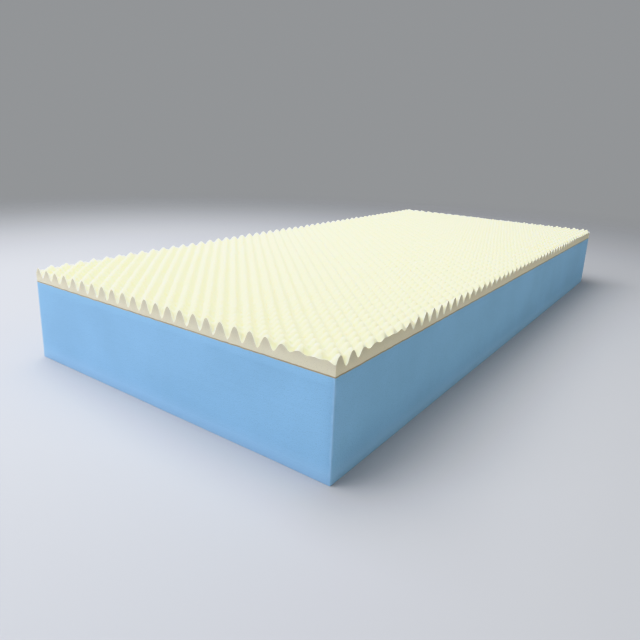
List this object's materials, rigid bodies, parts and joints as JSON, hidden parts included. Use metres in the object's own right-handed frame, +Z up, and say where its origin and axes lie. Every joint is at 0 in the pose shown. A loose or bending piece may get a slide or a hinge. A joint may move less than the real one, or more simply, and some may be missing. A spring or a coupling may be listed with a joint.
{
  "type": "foam mattress",
  "caption": "Bare two-layer foam mattress: a deep, square-cut foam core block with a convoluted egg-crate foam topper glued over its whole lying side.",
  "frame": {"origin": "middle of the flat underside, where the mattress lies on its bed base", "axes": "+Z up through the layers, Y along the mattress from foot to head, X across it"},
  "size_m": [0.9, 2, 0.2384],
  "materials": {
    "core_foam": "light blue open-cell polyurethane foam, matte, knife-cut faces",
    "foam_adhesive": "dried sprayed foam adhesive, dull amber",
    "topper_foam": "pale cream open-cell viscoelastic foam, matte, convoluted surface"
  },
  "bodies": {
    "root": {"foam_core": "core_foam", "glue_layer": "foam_adhesive", "convoluted_topper": "topper_foam"}
  },
  "joints": []
}
